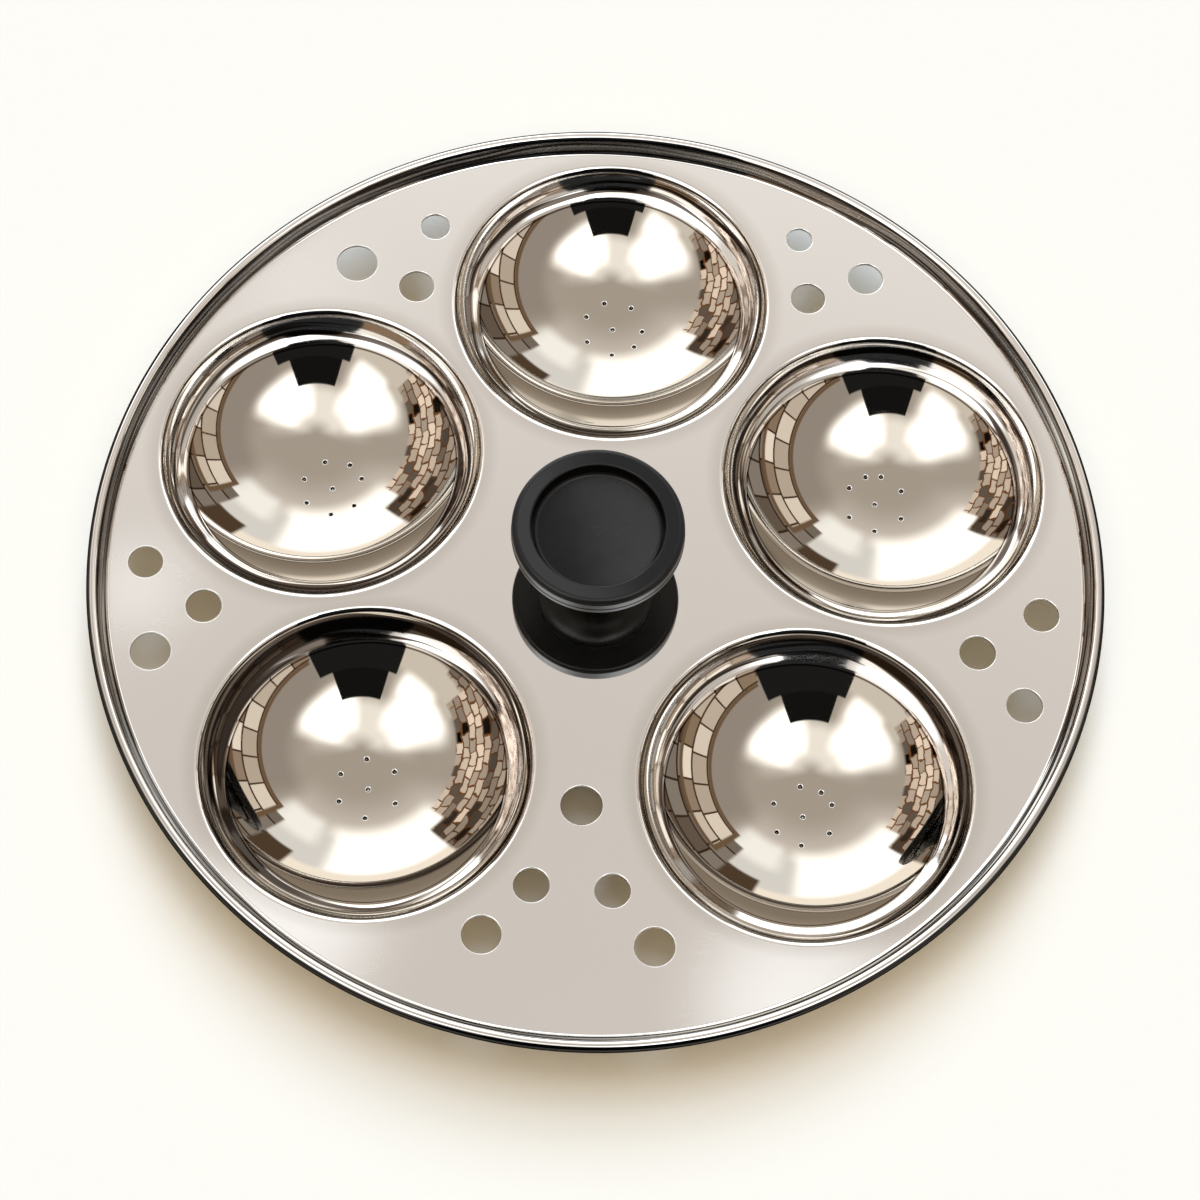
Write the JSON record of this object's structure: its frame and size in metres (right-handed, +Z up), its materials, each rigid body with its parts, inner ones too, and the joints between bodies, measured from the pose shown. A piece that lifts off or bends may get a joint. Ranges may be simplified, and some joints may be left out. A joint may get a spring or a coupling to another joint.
{
  "type": "idli steaming plate",
  "caption": "Round steaming plate with domed cups pressed into its deck, steam vents between them, a rolled rim, and a screwed-on knob in the middle to lift it by.",
  "frame": {"origin": "under the middle of the plate, on the plane that the five cups stand on", "axes": "+Z up along the knob's axis, +Y towards the cup opposite the wide gap, +X to the right seen from the front"},
  "size_m": [0.24, 0.24, 0.0405],
  "materials": {
    "polished_stainless": "mirror polished",
    "black_phenolic": "satin moulded, dished top finely pebbled",
    "brass": "turned",
    "seal_rubber": "matte",
    "plated_steel": "zinc plated"
  },
  "bodies": {
    "tray": {"idli_plate": "polished_stainless", "knob_screw": "plated_steel", "plain_washer": "plated_steel", "spring_washer": "plated_steel"},
    "seal": {"knob_seal": "seal_rubber"},
    "knob": {"knob": "black_phenolic", "knob_insert": "brass"}
  },
  "joints": [
    {"name": "knob_rise", "type": "slide", "parent": "tray", "child": "seal", "axis": [0, 0, 1], "range_m": [0, 0.0081]},
    {"name": "knob_turn", "type": "hinge", "parent": "seal", "child": "knob", "pos_m": [0, 0, 0.01945], "axis": [0, 0, 1], "range_deg": [0, 3600]}
  ],
  "couplings": [
    {"joint": "knob_rise", "follows": "knob_turn", "m_per_rad": 0.00012732}
  ]
}
